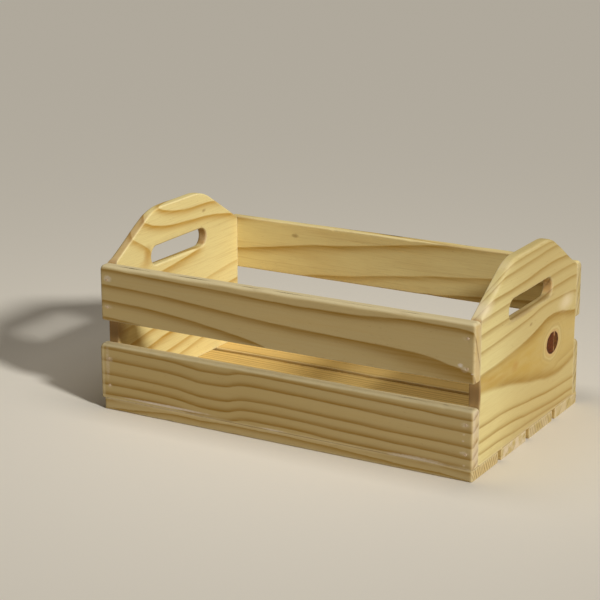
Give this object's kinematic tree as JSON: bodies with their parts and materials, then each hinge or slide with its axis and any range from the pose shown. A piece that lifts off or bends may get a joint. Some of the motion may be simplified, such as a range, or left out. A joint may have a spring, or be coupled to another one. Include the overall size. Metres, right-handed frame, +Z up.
{
  "type": "apple crate",
  "caption": "Open wooden apple crate with slatted sides and bottom, nailed to solid end panels that rise to a gable with a hand slot.",
  "frame": {"origin": "middle of the crate's footprint, on the plane that it rests on", "axes": "+X along the slats, from the left end panel to the right one; +Y across the crate, from the front side to the back side; +Z up"},
  "size_m": [0.33, 0.203, 0.155],
  "materials": {
    "slat_pine": "sanded, satin",
    "panel_pine": "sanded, satin",
    "nail_steel": "bright wire, satin"
  },
  "bodies": {
    "root": {"bottom_slat_1": "slat_pine", "bottom_slat_2": "slat_pine", "bottom_slat_3": "slat_pine", "bottom_slat_4": "slat_pine", "front_slat_lower": "slat_pine", "front_slat_upper": "slat_pine", "back_slat_lower": "slat_pine", "back_slat_upper": "slat_pine", "end_panel_left": "panel_pine", "end_panel_right": "panel_pine", "nail_bottom_1_left_1": "nail_steel", "nail_bottom_1_left_2": "nail_steel", "nail_bottom_1_right_1": "nail_steel", "nail_bottom_1_right_2": "nail_steel", "nail_bottom_2_left_1": "nail_steel", "nail_bottom_2_left_2": "nail_steel", "nail_bottom_2_right_1": "nail_steel", "nail_bottom_2_right_2": "nail_steel", "nail_bottom_3_left_1": "nail_steel", "nail_bottom_3_left_2": "nail_steel", "nail_bottom_3_right_1": "nail_steel", "nail_bottom_3_right_2": "nail_steel", "nail_bottom_4_left_1": "nail_steel", "nail_bottom_4_left_2": "nail_steel", "nail_bottom_4_right_1": "nail_steel", "nail_bottom_4_right_2": "nail_steel", "nail_front_lower_left_1": "nail_steel", "nail_front_lower_left_2": "nail_steel", "nail_front_lower_right_1": "nail_steel", "nail_front_lower_right_2": "nail_steel", "nail_front_upper_left_1": "nail_steel", "nail_front_upper_left_2": "nail_steel", "nail_front_upper_right_1": "nail_steel", "nail_front_upper_right_2": "nail_steel", "nail_back_lower_left_1": "nail_steel", "nail_back_lower_left_2": "nail_steel", "nail_back_lower_right_1": "nail_steel", "nail_back_lower_right_2": "nail_steel", "nail_back_upper_left_1": "nail_steel", "nail_back_upper_left_2": "nail_steel", "nail_back_upper_right_1": "nail_steel", "nail_back_upper_right_2": "nail_steel"}
  },
  "joints": []
}
